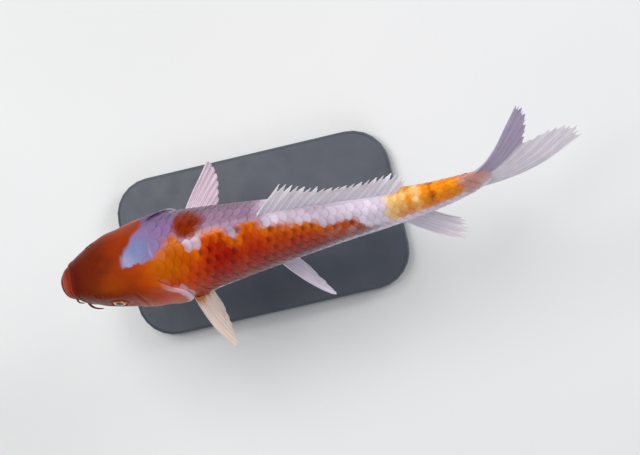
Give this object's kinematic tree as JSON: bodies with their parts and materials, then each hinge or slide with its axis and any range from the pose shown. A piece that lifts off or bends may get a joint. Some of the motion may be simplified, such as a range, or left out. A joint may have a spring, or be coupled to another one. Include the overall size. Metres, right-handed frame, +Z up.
{
  "type": "koi carp",
  "caption": "Life-size still model of a small orange and white koi carp, swimming with its tail turned, on two short rods over a flat base.",
  "frame": {"origin": "middle of the underside of the stand's base", "axes": "+Z up; -Y the way the fish heads, from the root of its tail to its snout; +X its left side"},
  "size_m": [0.0966, 0.2713, 0.148],
  "materials": {
    "orange_skin": "wet-looking orange skin with a metallic sheen",
    "pearl_skin": "pearly white skin, marked with orange",
    "gold_skin": "metallic gold and orange skin",
    "pale_fin": "pale, slightly translucent fin",
    "eye": "dark glossy eye",
    "slate_paint": "satin dark paint on the stand's base",
    "satin_steel": "satin steel rods and collars"
  },
  "bodies": {
    "root": {"head": "orange_skin", "lower_jaw": "orange_skin", "gill_cover_left": "orange_skin", "gill_cover_right": "orange_skin", "eye_left": "eye", "eye_right": "eye", "lip_barbel_left": "orange_skin", "lip_barbel_right": "orange_skin", "corner_barbel_left": "orange_skin", "corner_barbel_right": "orange_skin", "trunk": "pearl_skin", "tail_stalk": "gold_skin", "dorsal_fin": "pale_fin", "anal_fin": "pale_fin", "tail_fin": "pale_fin", "pectoral_fin_left": "pale_fin", "pectoral_fin_right": "pale_fin", "pelvic_fin_left": "pale_fin", "pelvic_fin_right": "pale_fin", "stand_base": "slate_paint", "stand_rod_front": "satin_steel", "stand_rod_rear": "satin_steel"}
  },
  "joints": []
}
